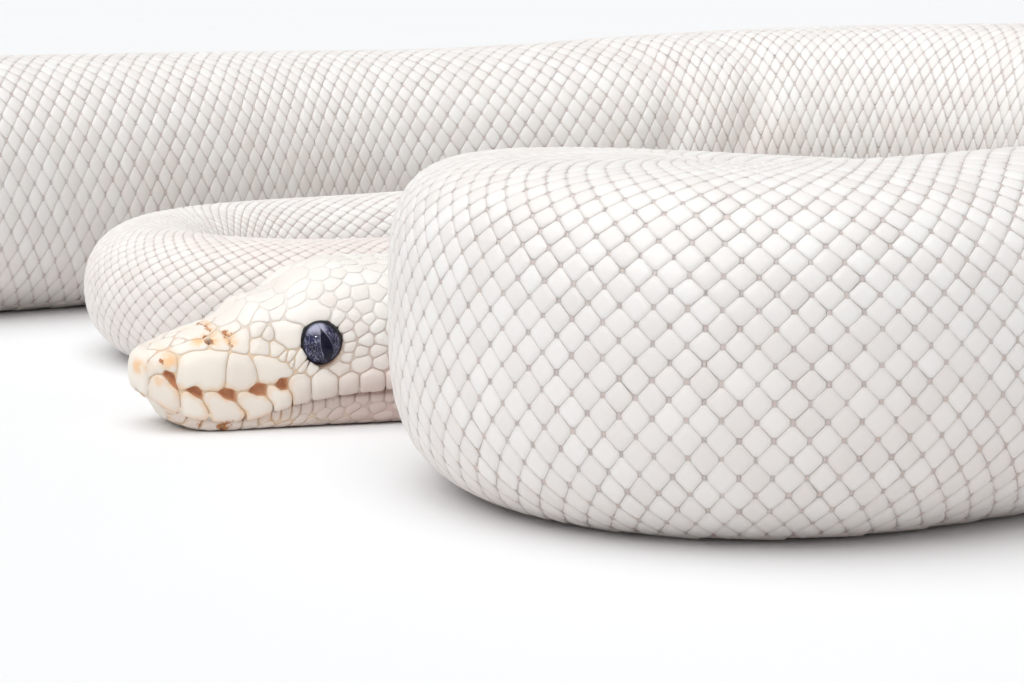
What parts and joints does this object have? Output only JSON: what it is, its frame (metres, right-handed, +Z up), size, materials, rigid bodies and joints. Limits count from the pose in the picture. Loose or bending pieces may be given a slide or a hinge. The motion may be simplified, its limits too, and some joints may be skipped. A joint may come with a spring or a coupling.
{
  "type": "coiled ball python",
  "caption": "Life-size white ball python lying in loose coils, head resting on the floor beside a tight bend of its own body; a still display model.",
  "frame": {"origin": "middle of the bounding box, on the floor the belly rests on", "axes": "+Z up; +X to the right and +Y away as seen from the side that the left eye faces; the snout points to -X and 25 degrees towards -Y"},
  "size_m": [0.3358, 0.274, 0.046],
  "materials": {
    "body_scales": "soft satin sheen of smooth dry scales, warm white with grey-pink skin between the scales",
    "head_scales": "satin, ivory white head plates with pale pink-brown grooves and terracotta lip pits",
    "jaw_scales": "satin, cream chin and lower lip scales",
    "eye": "wet gloss, dark blue-grey iris with a black upright slit pupil"
  },
  "bodies": {
    "root": {"eye_left": "eye", "eye_right": "eye", "head": "head_scales", "lower_jaw": "jaw_scales", "neck_01": "body_scales", "neck_02": "body_scales", "neck_03": "body_scales", "trunk_01": "body_scales", "trunk_02": "body_scales", "trunk_03": "body_scales", "trunk_04": "body_scales", "trunk_05": "body_scales", "trunk_06": "body_scales", "trunk_07": "body_scales", "trunk_08": "body_scales", "trunk_09": "body_scales", "trunk_10": "body_scales", "trunk_11": "body_scales", "trunk_12": "body_scales", "trunk_13": "body_scales", "trunk_14": "body_scales", "trunk_15": "body_scales", "tail_01": "body_scales"}
  },
  "joints": []
}
